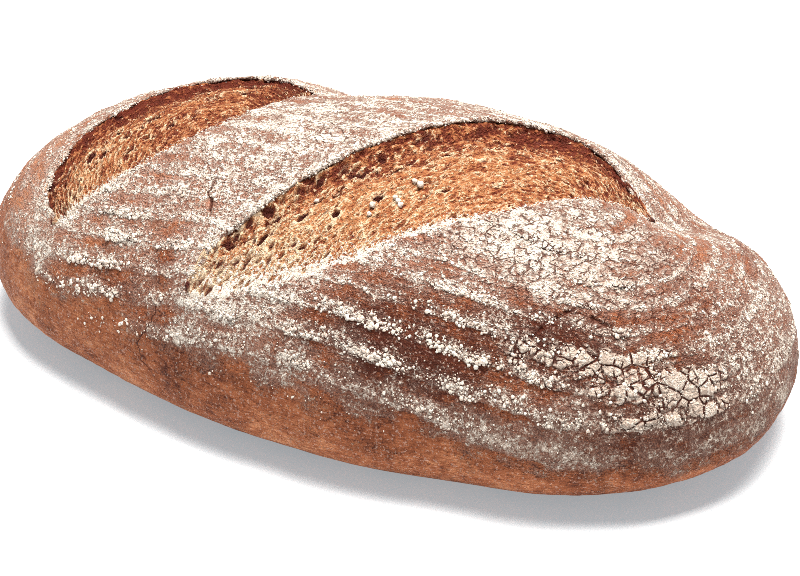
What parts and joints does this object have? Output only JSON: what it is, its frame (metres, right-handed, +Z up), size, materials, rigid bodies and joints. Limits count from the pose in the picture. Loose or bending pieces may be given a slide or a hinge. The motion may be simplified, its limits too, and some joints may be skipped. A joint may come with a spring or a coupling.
{
  "type": "multigrain loaf",
  "caption": "Oval hearth-baked multigrain loaf with a flat base, a floured ringed crust and two diagonal cuts that opened in the oven.",
  "frame": {"origin": "middle of the loaf's box at the flat base, where it rests on a surface", "axes": "+X along the loaf's length towards its broader end, +Z up, +Y across to the back"},
  "size_m": [0.3098, 0.173, 0.0953],
  "materials": {
    "crust": "matt baked crust with a dusting of flour, open crumb in the cuts",
    "flour": "dry baked flour",
    "crumb": "open crumb torn by the oven spring, dry and golden, with pores"
  },
  "bodies": {
    "root": {"loaf": "crust"}
  },
  "joints": []
}
